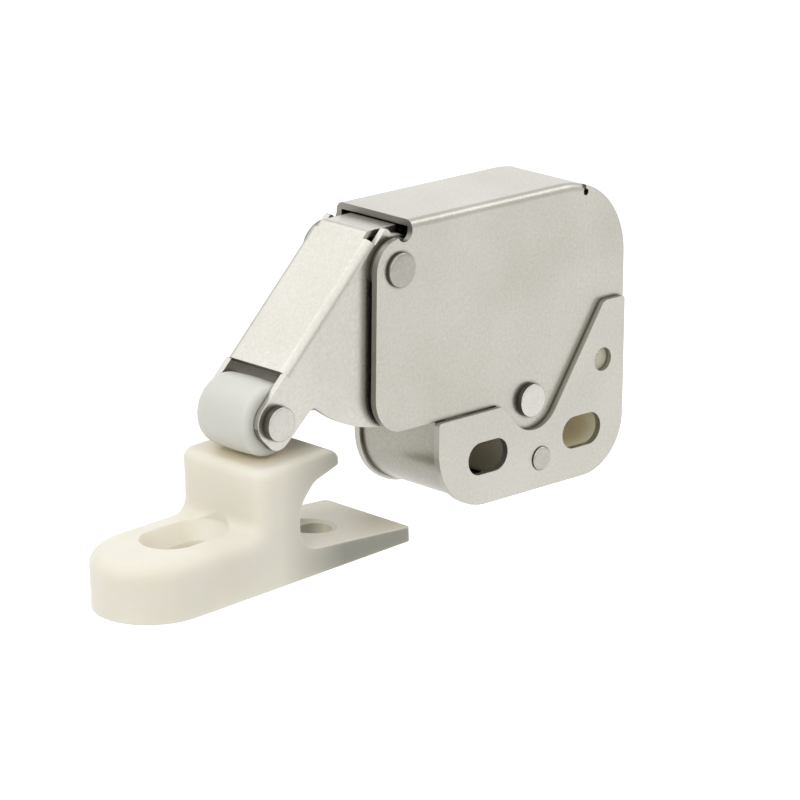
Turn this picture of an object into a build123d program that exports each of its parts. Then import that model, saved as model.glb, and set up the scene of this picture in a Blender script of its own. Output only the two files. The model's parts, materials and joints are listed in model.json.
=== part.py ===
from build123d import *
import os
from math import acos, atan2, cos, degrees, radians, sin, sqrt, tan

# Push to open catch: a steel housing with a sprung roller arm, riveted through a
# nylon block to a mounting bracket, and the nylon strike that goes on the door.
# Millimetres. X along the catch towards the bracket, Y across it, Z up. Drawn from
# the bracket's lower edge, midway between the two fixing slots and the two plates.

# ---- shared stock and running gaps ----
SHEET = 0.8              # steel sheet of bracket, strap, housing and arm
FOLD_R = 1.0             # outside radius of every fold
INNER_FOLD_R = FOLD_R - SHEET
SHANK_R = 1.5            # shank of the three rivets
HEAD_EDGE = 0.35         # bevel round a rivet head
RUN_GAP = 0.05           # radial gap where something turns on a pin
SIDE_GAP = 0.03          # gap beside washers, sleeve and roller
SEAM = 0.15              # open seam between two folded edges

# ---- widths across the catch ----
BRACKET_WIDTH = 14.0
PLATE_INNER = BRACKET_WIDTH / 2 - SHEET
HOUSING_INNER = PLATE_INNER - SHEET
WASHER_SPACE = 0.5
ARM_OUTER = HOUSING_INNER - WASHER_SPACE
ARM_INNER = ARM_OUTER - SHEET

# ---- bracket plates ----
BRACKET_FRONT = -15.8
BRACKET_REAR = 14.75
BRACKET_FRONT_TOP = 11.1
BRACKET_REAR_TOP = 20.8
FRONT_CORNER_R = 7.6
REAR_CORNER_R = 6.6
NOTCH_X = -0.15
NOTCH_Z = 11.45
NOTCH_R = 4.15
NOTCH_FRONT_SLOPE = 46.0
NOTCH_REAR_SLOPE = 55.6
SLOT_SPACING = 15.6
SLOT_LENGTH = 6.45
SLOT_WIDTH = 3.9
SLOT_HEIGHT = 5.6
CROSS_PIN_X = 1.0
CROSS_PIN_Z = 3.6
CROSS_PIN_R = 1.42
CROSS_PIN_PROUD = 0.3
PIP_X = 11.2
PIP_Z = 13.65
PIP_R = 1.6
PIP_WINDOW_R = 1.42

# ---- strap between the plates ----
STRAP_INSET = 0.45
STRAP_FLANGE = 1.6
STRAP_REAR_TOP = 8.5

# ---- housing ----
PIVOT_X = -21.55
HOUSING_TOP = 35.6
PIVOT_DROP = 5.35        # pivot below the housing top
PIVOT_Z = HOUSING_TOP - PIVOT_DROP
EAR_R = 3.6
HOUSING_BOTTOM = 11.2
HOUSING_REAR = 15.25
HOUSING_REAR_BOTTOM = 9.1
REAR_FLANGE_BOTTOM = 12.5
HOUSING_FRONT_R = 4.3
HOUSING_REAR_R = 9.8
WEB_FRONT = -19.65
RELIEF_R = 1.15
FOLD_END = 8.6
FOLD_HOLE_R = 0.4
LOWER_RIVET_X = -0.4
LOWER_RIVET_Z = 10.85
LOBE_R = 5.5

# ---- rivet heads: radius and height ----
PIVOT_HEAD_R = 2.05
PIVOT_HEAD_H = 0.65
LOWER_HEAD_R = 2.0
LOWER_HEAD_H = 0.9
ROLLER_HEAD_R = 2.0
ROLLER_HEAD_H = 1.1

# ---- arm, drawn hanging straight down from the pivot, then swung open ----
ARM_OPEN = 45.0
ARM_WEB_X = -5.05        # outside of the web, from the pivot
WEB_LOW_Z = -18.1        # square lower end of the web
EAR_FRONT_X = -4.85
EAR_LOW_Z = -25.5
EAR_REAR_X = 0.9
EAR_REAR_R = 1.85
EAR_FRONT_R = 2.55
NECK_X = 1.3
ROLLER_X = -2.16
ROLLER_Z = -22.9
ARM_TOP_Z = 2.7
BOSS_R = 3.9
SECTOR_R = 18.4
SECTOR_END = 341.0       # end of the quadrant, degrees about the pivot
STOP_R = 21.3
STOP_WIDTH = 2.4
STOP_GAP = 0.05
TONGUE_HALF = 3.6
TONGUE_DROP = 0.1        # tongue below the inside of the housing top
TONGUE_GAP = 0.2         # tongue tip to the front edge of the housing top

# ---- roller ----
ROLLER_R = 4.25
ROLLER_CROWN = 0.2       # the ends are this much smaller in radius
ROLLER_EDGE = 0.7

# ---- pivot parts and spring ----
SLEEVE_WALL = 0.6
WASHER_R = 3.5
WIRE_SIDES = 6           # flats that stand for a round wire
WIRE_R = 0.45
COIL_R = 2.8
COIL_TURNS = 3
COIL_PITCH = 1.0
SHORT_LEG_Z = -2.5       # below the pivot, with the arm closed
LONG_LEG_X = 8.0

# ---- link and its track in the block ----
LINK_R = 0.6
LINK_HOLE_EDGE = 2.4     # from the quadrant's rim
LINK_HOLE_R = SECTOR_R - LINK_HOLE_EDGE
LINK_HOLE_ANGLE = 313.0  # with the arm closed
LINK_RUN = 19.5
LINK_RISE = 2.0
LINK_Y = -2.3
TRACK_FLOOR_Y = -1.5
TRACK_DEPTH = 1.0
TRACK_GAP = 0.25
TRACK_SWEEP = 52.0

# ---- nylon block ----
BLOCK_CLEAR_R = 22.0     # kept free round the pivot for the stop
BLOCK_GAP = 0.1
BLOCK_LEFT = -3.4
BLOCK_NOSE = -8.0
BLOCK_NOSE_Z = 9.6
BLOCK_TOP = 27.0
BLOCK_TOP_R = 4.0
SHELF_DROP = 1.35        # shelf below the track's lowest point
SHELF_Z = PIVOT_Z + LINK_RISE - LINK_HOLE_R - SHELF_DROP
RIB_WALL = 1.0933        # rib beyond the end of the track
RIB_X = (PIVOT_X + LINK_RUN + RIB_WALL
         + LINK_HOLE_R * cos(radians(LINK_HOLE_ANGLE - ARM_OPEN + TRACK_SWEEP)))
KEEPER_T = 0.3
KEEPER_WIDTH = 5.0
KEEPER_LENGTH = 17.0
KEEPER_TILT = 23.0

# ---- strike, drawn flat from its thin end ----
STRIKE_X = -20.2
STRIKE_Z = -1.85
STRIKE_LEAN = 2.8
STRIKE_LENGTH = 39.9
STRIKE_WIDTH = 14.0
TOE_T = 1.7
TOE_R = 0.5
RAMP_T = 3.3
BASE_T = 6.8
COLUMN_REAR = -22.7
COLUMN_FRONT = -17.05
COLUMN_TOP = 14.0
SIDE_EDGE_R = 2.0        # rim of the base and upright edges of the column
COLUMN_FOOT_R = 1.5
COLUMN_TOP_R = 1.2
THROAT_FOOT_R = 3.0
THROAT_LOW = 8.6
THROAT_R = 4.0
THROAT_X = -14.7
THROAT_HIGH = 11.0
LIP_END = -10.95
LIP_LOW = 12.1
LIP_EDGE_R = 0.3
STRIKE_SINK_END = -33.6
STRIKE_SINK_W = 7.2
STRIKE_SINK_DEPTH = 2.0
STRIKE_SINK_TAPER = 35.0
STRIKE_SLOT_W = 4.2
TOE_SCREW_U = -8.5
TOE_SCREW_R = 2.0
DISH_R = 6.0
DISH_DEPTH = 0.8

PIVOT = Vector(PIVOT_X, PIVOT_Z)
LOWER_RIVET = Vector(LOWER_RIVET_X, LOWER_RIVET_Z)
PIP = Vector(PIP_X, PIP_Z)
CROSS_PIN = Vector(CROSS_PIN_X, CROSS_PIN_Z)
ROLLER_PIN = Vector(ROLLER_X, ROLLER_Z)
HOUSING_FRONT = PIVOT_X - EAR_R
STRAP_INNER = STRAP_INSET + SHEET
FAR = 60.0               # longer than anything it trims
# The catch is exported from the near plate's face, midway between the slots.
PLACE = Pos(0, BRACKET_WIDTH / 2, -SLOT_HEIGHT)
OPEN = Pos(PIVOT_X, 0, PIVOT_Z) * Rot(0, ARM_OPEN, 0)
STRIKE_AT = Pos(STRIKE_X, 0, STRIKE_Z) * Rot(0, -STRIKE_LEAN, 0)


def outline(corners):
    """Flat face through (x, z, corner radius) points, each corner rounded."""
    ends, edges = [], []
    for i, (x, z, radius) in enumerate(corners):
        here = Vector(x, z)
        back = (Vector(*corners[i - 1][:2]) - here).normalized()
        ahead = (Vector(*corners[(i + 1) % len(corners)][:2]) - here).normalized()
        start = end = here
        if radius:
            half = radians(back.get_angle(ahead)) / 2
            start = here + back * (radius / tan(half))
            end = here + ahead * (radius / tan(half))
            mid = here + (back + ahead).normalized() * (radius / sin(half) - radius)
            edges.append(ThreePointArc(start, mid, end))
        ends.append((start, end))
    for i, (start, _) in enumerate(ends):
        edges.append(Line(ends[i - 1][1], start))
    return make_face(edges)


def disc(centre, radius):
    return Pos(centre.X, centre.Y) * Circle(radius)


def slot(x, z, length, width):
    return Pos(x, z) * SlotOverall(length, width)


def slab(face, low, high):
    """Solid of a flat outline in X and Z between two Y values."""
    return extrude(Plane.XZ.offset(-high) * face, amount=high - low)


def pair(face, inner, outer):
    """The same slab on the near and the far side."""
    return slab(face, -outer, -inner) + slab(face, inner, outer)


def half_plane(x_low, x_high):
    return Pos((x_low + x_high) / 2, 0) * Rectangle(x_high - x_low, 4 * FAR)


def rivet(centre, grip, head_r, head_h):
    """Plain shank with a bevelled head on both sides."""
    top, face = grip + head_h, head_r - HEAD_EDGE
    half = [(0, top), (face, top), (head_r, top - HEAD_EDGE), (head_r, grip), (SHANK_R, grip)]
    profile = Polyline(*half, *((x, -y) for x, y in reversed(half)), close=True)
    return Pos(centre.X, 0, centre.Y) * revolve(make_face(profile), Axis.Y)


def bracket_outline():
    """Outline of the plates; the notch clears the lower rivet."""
    half = radians(180 - NOTCH_FRONT_SLOPE - NOTCH_REAR_SLOPE) / 2
    lean = radians((NOTCH_REAR_SLOPE - NOTCH_FRONT_SLOPE) / 2)
    reach = NOTCH_R / sin(half)
    tip_x, tip_z = NOTCH_X + reach * sin(lean), NOTCH_Z - reach * cos(lean)
    front_x = tip_x - (BRACKET_FRONT_TOP - tip_z) / tan(radians(NOTCH_FRONT_SLOPE))
    rear_x = tip_x + (BRACKET_REAR_TOP - tip_z) / tan(radians(NOTCH_REAR_SLOPE))
    return outline([
        (BRACKET_FRONT, 0, FRONT_CORNER_R), (BRACKET_REAR, 0, REAR_CORNER_R),
        (BRACKET_REAR, BRACKET_REAR_TOP, SHEET / 2),
        (rear_x, BRACKET_REAR_TOP, FOLD_R), (tip_x, tip_z, NOTCH_R),
        (front_x, BRACKET_FRONT_TOP, FOLD_R),
        (BRACKET_FRONT, BRACKET_FRONT_TOP, SHEET / 2)])


def bracket_plate(side):
    face = bracket_outline()
    for way in (-1, 1):
        face -= slot(way * SLOT_SPACING / 2, SLOT_HEIGHT, SLOT_LENGTH, SLOT_WIDTH)
    face -= disc(CROSS_PIN, CROSS_PIN_R) + disc(PIP, PIP_WINDOW_R)
    middle = side * (PLATE_INNER + SHEET / 2)
    return slab(face, middle - SHEET / 2, middle + SHEET / 2)


def trough(inset):
    """Rounded trough outline, open at the top, a given depth inside the plates."""
    return outline([
        (BRACKET_FRONT + inset, inset, FRONT_CORNER_R - inset),
        (BRACKET_REAR - inset, inset, REAR_CORNER_R - inset),
        (BRACKET_REAR - inset, FAR, 0), (BRACKET_FRONT + inset, FAR, 0)])


def base_frame():
    """Strap round front, bottom and rear, with a welding flange on each plate."""
    wall = trough(STRAP_INSET) - trough(STRAP_INNER)
    flange = trough(STRAP_INSET) - trough(STRAP_INSET + STRAP_FLANGE)
    body = slab(wall, -PLATE_INNER, PLATE_INNER) + pair(flange, HOUSING_INNER, PLATE_INNER)
    front_top = BRACKET_FRONT_TOP - BLOCK_GAP
    keep = Pos(BRACKET_FRONT, front_top / 2) * Rectangle(-BRACKET_FRONT * 2, front_top)
    keep += Pos(BRACKET_REAR, STRAP_REAR_TOP / 2) * Rectangle(BRACKET_REAR * 2, STRAP_REAR_TOP)
    return body & slab(keep, -FAR, FAR)


def housing_outline(depth=0.0):
    """Side plate outline; with a depth, the space inside top and rear."""
    top, rear = HOUSING_TOP - depth, HOUSING_REAR - depth
    relief_x, ear_top = WEB_FRONT - RELIEF_R, PIVOT_Z + EAR_R
    if depth:
        low = -FAR
        return outline([(HOUSING_FRONT - FAR, low, 0), (rear, low, 0),
                        (rear, top, HOUSING_REAR_R - depth), (HOUSING_FRONT - FAR, top, 0)])
    face = outline([
        (HOUSING_FRONT, HOUSING_BOTTOM, HOUSING_FRONT_R), (LOWER_RIVET_X, HOUSING_BOTTOM, 0),
        (LOWER_RIVET_X, HOUSING_REAR_BOTTOM, 0), (HOUSING_REAR, HOUSING_REAR_BOTTOM, FOLD_R),
        (HOUSING_REAR, top, HOUSING_REAR_R), (WEB_FRONT, top, 0),
        (WEB_FRONT, top - RELIEF_R, 0), (relief_x, top - RELIEF_R, 0),
        (relief_x, ear_top, 0), (HOUSING_FRONT, ear_top, EAR_R)])
    return face + disc(LOWER_RIVET, LOBE_R) - disc(Vector(relief_x, top - RELIEF_R), RELIEF_R)


def housing_shell():
    """Two side plates folded down from the top; the rear flange is bent in between."""
    rim = housing_outline()
    inside = housing_outline(SHEET)
    band = (rim - inside) & half_plane(WEB_FRONT, HOUSING_REAR)
    band &= Pos(0, REAR_FLANGE_BOTTOM + FAR) * Rectangle(4 * FAR, 2 * FAR)
    plates = pair(rim, HOUSING_INNER, PLATE_INNER)
    folded = slab(band, -PLATE_INNER, PLATE_INNER) + plates
    front = slab(half_plane(-FAR, FOLD_END), -FAR, FAR)
    rear = slab(half_plane(FOLD_END, FAR), -FAR, FAR)
    folded &= front
    top = [e for e in folded.edges()
           if abs(abs(e.center().Y) - PLATE_INNER) < 1e-4
           and e.center().Z > HOUSING_TOP - FOLD_R and e.length > 2 * FOLD_R]
    folded = fillet(top, FOLD_R)
    strip = slab(band, SEAM - HOUSING_INNER, HOUSING_INNER - SEAM)
    body = folded + ((plates + strip) & rear)
    holes = disc(PIVOT, SHANK_R) + disc(LOWER_RIVET, SHANK_R) + disc(PIP, PIP_R)
    holes += disc(Vector(FOLD_END, HOUSING_TOP - FOLD_R - FOLD_HOLE_R), FOLD_HOLE_R)
    return body - slab(holes, -FAR, FAR)


def about(radius, angle):
    """Point at a radius and an angle in degrees."""
    return Vector(radius * cos(radians(angle)), radius * sin(radians(angle)))


def angle_of(point):
    return degrees(atan2(point.Y, point.X))


def arm_side():
    """Side of the arm: boss, quadrant and the ear that carries the roller."""
    fold_x = ARM_WEB_X + FOLD_R
    spine = outline([
        (fold_x, ARM_TOP_Z, SHEET / 2), (0, ARM_TOP_Z, 0), (NECK_X, -BOSS_R, 0),
        (NECK_X, WEB_LOW_Z, 0), (EAR_REAR_X, EAR_LOW_Z, EAR_REAR_R),
        (EAR_FRONT_X, EAR_LOW_Z, EAR_FRONT_R), (EAR_FRONT_X, WEB_LOW_Z, 0),
        (fold_x, WEB_LOW_Z, 0)])
    tip = about(SECTOR_R, SECTOR_END)
    tangent = about(BOSS_R, SECTOR_END + degrees(acos(BOSS_R / SECTOR_R)))
    beyond = tip + (tip - tangent)
    wedge = make_face(Polyline((0, 0), (0, -FAR), (FAR, -FAR), (beyond.X, beyond.Y),
                               (tangent.X, tangent.Y), close=True))
    face = spine + Circle(BOSS_R) + (wedge & Circle(SECTOR_R))
    neck = face.vertices().sort_by_distance((NECK_X, WEB_LOW_Z))[0]
    face = fillet(neck, SHEET)
    return (face - disc(about(LINK_HOLE_R, LINK_HOLE_ANGLE), LINK_R + RUN_GAP)
            - Circle(SHANK_R + RUN_GAP) - disc(ROLLER_PIN, SHANK_R))


def arm_shell():
    """Channel-shaped arm with a tongue at the top and two stops at the quadrant."""
    tongue_z = HOUSING_TOP - SHEET - TONGUE_DROP - PIVOT_Z
    bend_z = tongue_z / cos(radians(ARM_OPEN)) + ARM_WEB_X
    web_top = bend_z - FOLD_R
    inside_x = ARM_WEB_X + SHEET
    channel = Pos(ARM_WEB_X, 0, web_top) * Box(
        FOLD_R, 2 * ARM_OUTER, web_top - WEB_LOW_Z, align=(Align.MIN, Align.CENTER, Align.MAX))
    channel = fillet(channel.edges().filter_by(Axis.Z).group_by(Axis.X)[0], FOLD_R - 0.001)
    inside = Pos(inside_x, 0, 0) * Box(
        FOLD_R, 2 * ARM_INNER, 2 * FAR, align=(Align.MIN, Align.CENTER, Align.CENTER))
    channel -= fillet(inside.edges().filter_by(Axis.Z).group_by(Axis.X)[0], INNER_FOLD_R)
    # The tongue is the web bent over so that it lies level when the arm is open.
    top = Vector(WEB_FRONT - TONGUE_GAP - PIVOT_X, tongue_z)
    tip, under = (p.rotate(Axis.Z, ARM_OPEN) for p in (top, top - Vector(0, SHEET)))
    tongue = slab(outline([
        (ARM_WEB_X, web_top - SHEET, 0), (ARM_WEB_X, bend_z, FOLD_R), (tip.X, tip.Y, 0),
        (under.X, under.Y, 0),
        (inside_x, bend_z - SHEET * tan(radians(ARM_OPEN / 2)), INNER_FOLD_R),
        (inside_x, web_top - SHEET, 0)]), -TONGUE_HALF, TONGUE_HALF)
    arm = OPEN * (channel + tongue + pair(arm_side(), ARM_INNER, ARM_OUTER))
    # The stops meet the inside of the strap's front wall when the arm is open.
    stop_x = BRACKET_FRONT + STRAP_INNER + STOP_GAP + STOP_WIDTH / 2
    stop = Pos(stop_x, PIVOT_Z - SECTOR_R) * Rectangle(STOP_WIDTH, SECTOR_R / 2)
    return arm + pair(stop & disc(PIVOT, STOP_R), ARM_INNER, ARM_OUTER)


def roller():
    """Crowned roller with a running bore."""
    bore, half, rim = SHANK_R + RUN_GAP, ARM_INNER - SIDE_GAP, ROLLER_R - ROLLER_CROWN
    ends = ((bore, -half), (rim, -half), (rim, half), (bore, half))
    profile = make_face([Line(ends[0], ends[1]), ThreePointArc(ends[1], (ROLLER_R, 0), ends[2]),
                         Line(ends[2], ends[3]), Line(ends[3], ends[0])])
    body = revolve(profile, Axis.Y)
    rims = [e for e in body.edges().filter_by(GeomType.CIRCLE) if e.radius > rim - ROLLER_EDGE]
    return OPEN * Pos(ROLLER_X, 0, ROLLER_Z) * fillet(rims, ROLLER_EDGE)


def roller_pin():
    return OPEN * rivet(ROLLER_PIN, ARM_OUTER, ROLLER_HEAD_R, ROLLER_HEAD_H)


def pivot_washer(side):
    ring = disc(PIVOT, WASHER_R) - disc(PIVOT, SHANK_R + RUN_GAP)
    low, high = sorted((side * (ARM_OUTER + SIDE_GAP), side * (HOUSING_INNER - SIDE_GAP)))
    return slab(ring, low, high)


def pivot_sleeve():
    ring = disc(PIVOT, SHANK_R + RUN_GAP + SLEEVE_WALL) - disc(PIVOT, SHANK_R + RUN_GAP)
    return slab(ring, SIDE_GAP - ARM_INNER, ARM_INNER - SIDE_GAP)


def wire_along(path, radius):
    section = Plane(origin=path @ 0, z_dir=path % 0) * RegularPolygon(radius, WIRE_SIDES)
    return sweep(section, path=path)


def leg_length(end):
    """Straight run from the coil to the end of a leg."""
    return sqrt(end.length ** 2 - COIL_R ** 2)


def arm_spring():
    """Torsion spring: short leg on the arm's web, long leg under the housing top."""
    touch = SIDE_GAP + WIRE_R
    long_end = Vector(LONG_LEG_X, HOUSING_TOP - SHEET - touch - PIVOT_Z)
    short_end = Vector(ARM_WEB_X + SHEET + touch, SHORT_LEG_Z).rotate(Axis.Z, -ARM_OPEN)
    long_angle = angle_of(long_end) + degrees(acos(COIL_R / long_end.length))
    short_angle = angle_of(short_end) - degrees(acos(COIL_R / short_end.length))
    height = (COIL_TURNS + (short_angle - long_angle) / 360) * COIL_PITCH
    coil = Rot(0, 0, long_angle) * Pos(0, 0, -height / 2) * Helix(COIL_PITCH, height, COIL_R)
    long_leg = Line(coil @ 0 - (coil % 0) * leg_length(long_end), coil @ 0)
    short_leg = Line(coil @ 1, coil @ 1 + (coil % 1) * leg_length(short_end))
    path = Wire([long_leg, coil, short_leg])
    return Pos(PIVOT_X, 0, PIVOT_Z) * Plane.XZ.location * wire_along(path, WIRE_R)


def link_hole():
    return PIVOT + about(LINK_HOLE_R, LINK_HOLE_ANGLE - ARM_OPEN)


def cam_link():
    """Wire link: one end in the near side of the arm, the other in the track."""
    hole = link_hole()
    tip = hole + Vector(LINK_RUN, LINK_RISE)
    path = FilletPolyline(
        (hole.X, TRACK_GAP - HOUSING_INNER, hole.Y), (hole.X, LINK_Y, hole.Y),
        (tip.X, LINK_Y, tip.Y), (tip.X, TRACK_FLOOR_Y + TRACK_DEPTH - TRACK_GAP, tip.Y),
        radius=LINK_R + RUN_GAP)
    return wire_along(path, LINK_R)


def track():
    """Band that the link's tip runs along; it copies the arc of the link's hole."""
    centre = PIVOT + Vector(LINK_RUN, LINK_RISE)
    arc = CenterArc((centre.X, centre.Y), LINK_HOLE_R, LINK_HOLE_ANGLE - ARM_OPEN, TRACK_SWEEP)
    return SlotArc(arc, 2 * (LINK_R + TRACK_GAP))


def keeper():
    """Leaf in front of the link, held in a slit of the block's rib."""
    centre = PIVOT + Vector(LINK_RUN, LINK_RISE) + about(
        LINK_HOLE_R, LINK_HOLE_ANGLE - ARM_OPEN / 2)
    leaf = Pos(centre.X, centre.Y) * Rot(0, 0, KEEPER_TILT) * Rectangle(KEEPER_LENGTH, KEEPER_WIDTH)
    front = LINK_Y - LINK_R - RUN_GAP
    return slab(leaf, front - KEEPER_T, front)


def cam_block():
    """Nylon block: guides the link, spaces the plates and takes a mounting screw."""
    low = STRAP_INNER + BLOCK_GAP
    right = BRACKET_REAR - low
    core = outline([
        (BLOCK_LEFT, low, SHEET), (right, low, REAR_CORNER_R - low),
        (right, BLOCK_TOP, BLOCK_TOP_R), (BLOCK_NOSE, BLOCK_TOP, 0),
        (BLOCK_NOSE, BLOCK_NOSE_Z, SHEET), (BLOCK_LEFT, BLOCK_NOSE_Z, SHEET)])
    core -= disc(PIVOT, BLOCK_CLEAR_R)
    flange = STRAP_INSET + STRAP_FLANGE + BLOCK_GAP
    cheek_top = HOUSING_REAR_BOTTOM - BLOCK_GAP
    cheek = outline([
        (BLOCK_LEFT, flange, SHEET), (BRACKET_REAR - flange, flange, REAR_CORNER_R - flange),
        (BRACKET_REAR - flange, cheek_top, 0), (BLOCK_LEFT, cheek_top, 0)])
    cheek -= disc(LOWER_RIVET, LOBE_R + BLOCK_GAP)
    body = slab(core, -HOUSING_INNER, HOUSING_INNER)
    body += slab(cheek + disc(PIP, PIP_R), -PLATE_INNER, PLATE_INNER)
    pocket = Pos(RIB_X - FAR / 2, SHELF_Z + FAR / 2) * Rectangle(FAR, FAR)
    body -= slab(pocket, -FAR, TRACK_FLOOR_Y)
    body -= slab(track(), -FAR, TRACK_FLOOR_Y + TRACK_DEPTH)
    through = slot(SLOT_SPACING / 2, SLOT_HEIGHT, SLOT_LENGTH, SLOT_WIDTH)
    through += disc(LOWER_RIVET, SHANK_R) + disc(CROSS_PIN, CROSS_PIN_R)
    return body - slab(through, -FAR, FAR) - keeper()


def bracket_pin():
    half = BRACKET_WIDTH / 2 + CROSS_PIN_PROUD
    pin = slab(disc(CROSS_PIN, CROSS_PIN_R), -half, half)
    return chamfer(pin.edges().filter_by(GeomType.CIRCLE), CROSS_PIN_PROUD / 2)


def strike():
    """Strike: slotted base, column with a lip for the roller, thin screwed toe."""
    half = STRIKE_WIDTH / 2
    profile = outline([
        (-STRIKE_LENGTH, 0, 0), (0, 0, 0), (0, TOE_T, 0),
        (COLUMN_FRONT, RAMP_T, THROAT_FOOT_R), (COLUMN_FRONT, THROAT_LOW, THROAT_R),
        (THROAT_X, THROAT_HIGH, THROAT_R / 2), (LIP_END, LIP_LOW, LIP_EDGE_R),
        (LIP_END, COLUMN_TOP, 0), (COLUMN_REAR, COLUMN_TOP, 0),
        (COLUMN_REAR, BASE_T, COLUMN_FOOT_R), (-STRIKE_LENGTH, BASE_T, 0)])
    plan = Pos(-half - STRIKE_LENGTH + STRIKE_WIDTH, 0) * Circle(half)
    plan += outline([(half - STRIKE_LENGTH, -half, 0), (0, -half, TOE_R), (0, half, TOE_R),
                     (half - STRIKE_LENGTH, half, 0)])
    body = slab(profile, -half, half) & extrude(plan, amount=COLUMN_TOP)
    rim = [e for e in body.edges()
           if BASE_T - 0.01 < e.center().Z < COLUMN_TOP - 0.01 and e.center().X < COLUMN_REAR + 0.1
           and (abs(abs(e.center().Y) - half) < 1e-3 or e.center().X < half - STRIKE_LENGTH)]
    body = fillet(rim, SIDE_EDGE_R)
    body = fillet(body.faces().sort_by(Axis.Z)[-1].edges(), COLUMN_TOP_R)
    sink_length = COLUMN_REAR - STRIKE_SINK_END
    middle = STRIKE_SINK_END + sink_length / 2
    sink = Pos(middle, 0, BASE_T) * SlotOverall(sink_length, STRIKE_SINK_W)
    body -= extrude(sink, amount=COLUMN_FOOT_R)
    body -= extrude(sink, amount=-STRIKE_SINK_DEPTH, taper=STRIKE_SINK_TAPER)
    narrower = STRIKE_SINK_W - STRIKE_SLOT_W
    body -= extrude(Pos(middle, 0, 0) * SlotOverall(sink_length - narrower, STRIKE_SLOT_W),
                    amount=BASE_T)
    toe_top = TOE_T + (RAMP_T - TOE_T) * TOE_SCREW_U / COLUMN_FRONT
    body -= Pos(TOE_SCREW_U, 0, 0) * Cylinder(TOE_SCREW_R, BASE_T)
    body -= Pos(TOE_SCREW_U, 0, toe_top + DISH_R - DISH_DEPTH) * Sphere(DISH_R)
    return STRIKE_AT * body


def parts():
    """Every node name with its solid, in the drawing's own frame."""
    made = {
        "housing_shell": housing_shell(), "base_frame": base_frame(),
        "cam_block": cam_block(), "arm_shell": arm_shell(), "roller": roller(),
        "roller_pin": roller_pin(), "arm_spring": arm_spring(),
        "pivot_rivet": rivet(PIVOT, PLATE_INNER, PIVOT_HEAD_R, PIVOT_HEAD_H),
        "lower_rivet": rivet(LOWER_RIVET, PLATE_INNER, LOWER_HEAD_R, LOWER_HEAD_H),
        "bracket_pin": bracket_pin(), "pivot_sleeve": pivot_sleeve(),
        "cam_link": cam_link(), "link_keeper": keeper(), "strike": strike()}
    for name, side in (("near", -1), ("far", 1)):
        made["bracket_plate_" + name] = bracket_plate(side)
        made["pivot_washer_" + name] = pivot_washer(side)
    return made


os.makedirs("parts", exist_ok=True)
for node, solid in parts().items():
    export_step(PLACE * solid, f"parts/{node}.step")
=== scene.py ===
"""Push to open catch: finishes, fine detail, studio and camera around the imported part."""

from __future__ import annotations

import json
import logging
import math
from dataclasses import dataclass
from enum import Enum

import bmesh
import bpy
from mathutils import Matrix, Vector

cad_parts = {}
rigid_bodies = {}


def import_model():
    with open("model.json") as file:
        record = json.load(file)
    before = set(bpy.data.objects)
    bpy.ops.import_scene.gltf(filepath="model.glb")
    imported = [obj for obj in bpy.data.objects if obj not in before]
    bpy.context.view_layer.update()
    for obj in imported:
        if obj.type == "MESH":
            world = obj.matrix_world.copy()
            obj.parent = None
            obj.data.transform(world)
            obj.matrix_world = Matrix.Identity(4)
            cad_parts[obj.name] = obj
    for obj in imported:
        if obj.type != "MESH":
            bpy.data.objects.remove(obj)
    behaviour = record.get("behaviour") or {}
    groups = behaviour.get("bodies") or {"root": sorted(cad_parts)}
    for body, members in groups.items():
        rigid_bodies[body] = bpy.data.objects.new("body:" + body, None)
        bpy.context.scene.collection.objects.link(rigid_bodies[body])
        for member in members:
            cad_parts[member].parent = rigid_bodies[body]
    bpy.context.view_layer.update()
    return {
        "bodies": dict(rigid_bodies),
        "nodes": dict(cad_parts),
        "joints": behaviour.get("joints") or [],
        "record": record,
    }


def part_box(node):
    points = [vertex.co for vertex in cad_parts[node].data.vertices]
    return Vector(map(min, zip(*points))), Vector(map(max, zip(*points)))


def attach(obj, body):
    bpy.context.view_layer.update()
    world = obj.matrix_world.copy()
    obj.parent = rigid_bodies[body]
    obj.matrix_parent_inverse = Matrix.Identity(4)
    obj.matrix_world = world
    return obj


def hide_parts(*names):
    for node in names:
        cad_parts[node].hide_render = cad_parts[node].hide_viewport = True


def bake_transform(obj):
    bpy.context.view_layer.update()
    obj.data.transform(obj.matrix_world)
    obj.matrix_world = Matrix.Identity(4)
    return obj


LOG = logging.getLogger("catch")
MM = 0.001
PIN_GRAIN = 2500.0  # coarse grain of the turned pins and rivets, per metre

Colour = tuple[float, float, float]
Range = tuple[float, float]
Node = bpy.types.Node
Socket = bpy.types.NodeSocket
Ends = tuple[Socket | float, Socket | float]


class Side(Enum):
    """The two ends of what goes across the catch, by their direction along Y."""

    NEAR = -1
    FAR = 1


class Skin(Enum):
    """Directions in X and Z that a sheet part's plated skin faces, and how nearly.

    A face across the catch that points elsewhere is a sheared edge of the sheet.
    """

    NONE = (0.0, 0.0, 1.0)
    HOUSING = (0.7071, 0.7071, 0.6)
    ARM = (-0.7071, 0.7071, 0.6)
    STRAP = (0.0, -1.0, -0.5)
    ALL = (0.0, 0.0, -1.0)


# ---------------------------------------------------------------- node tools


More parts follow.
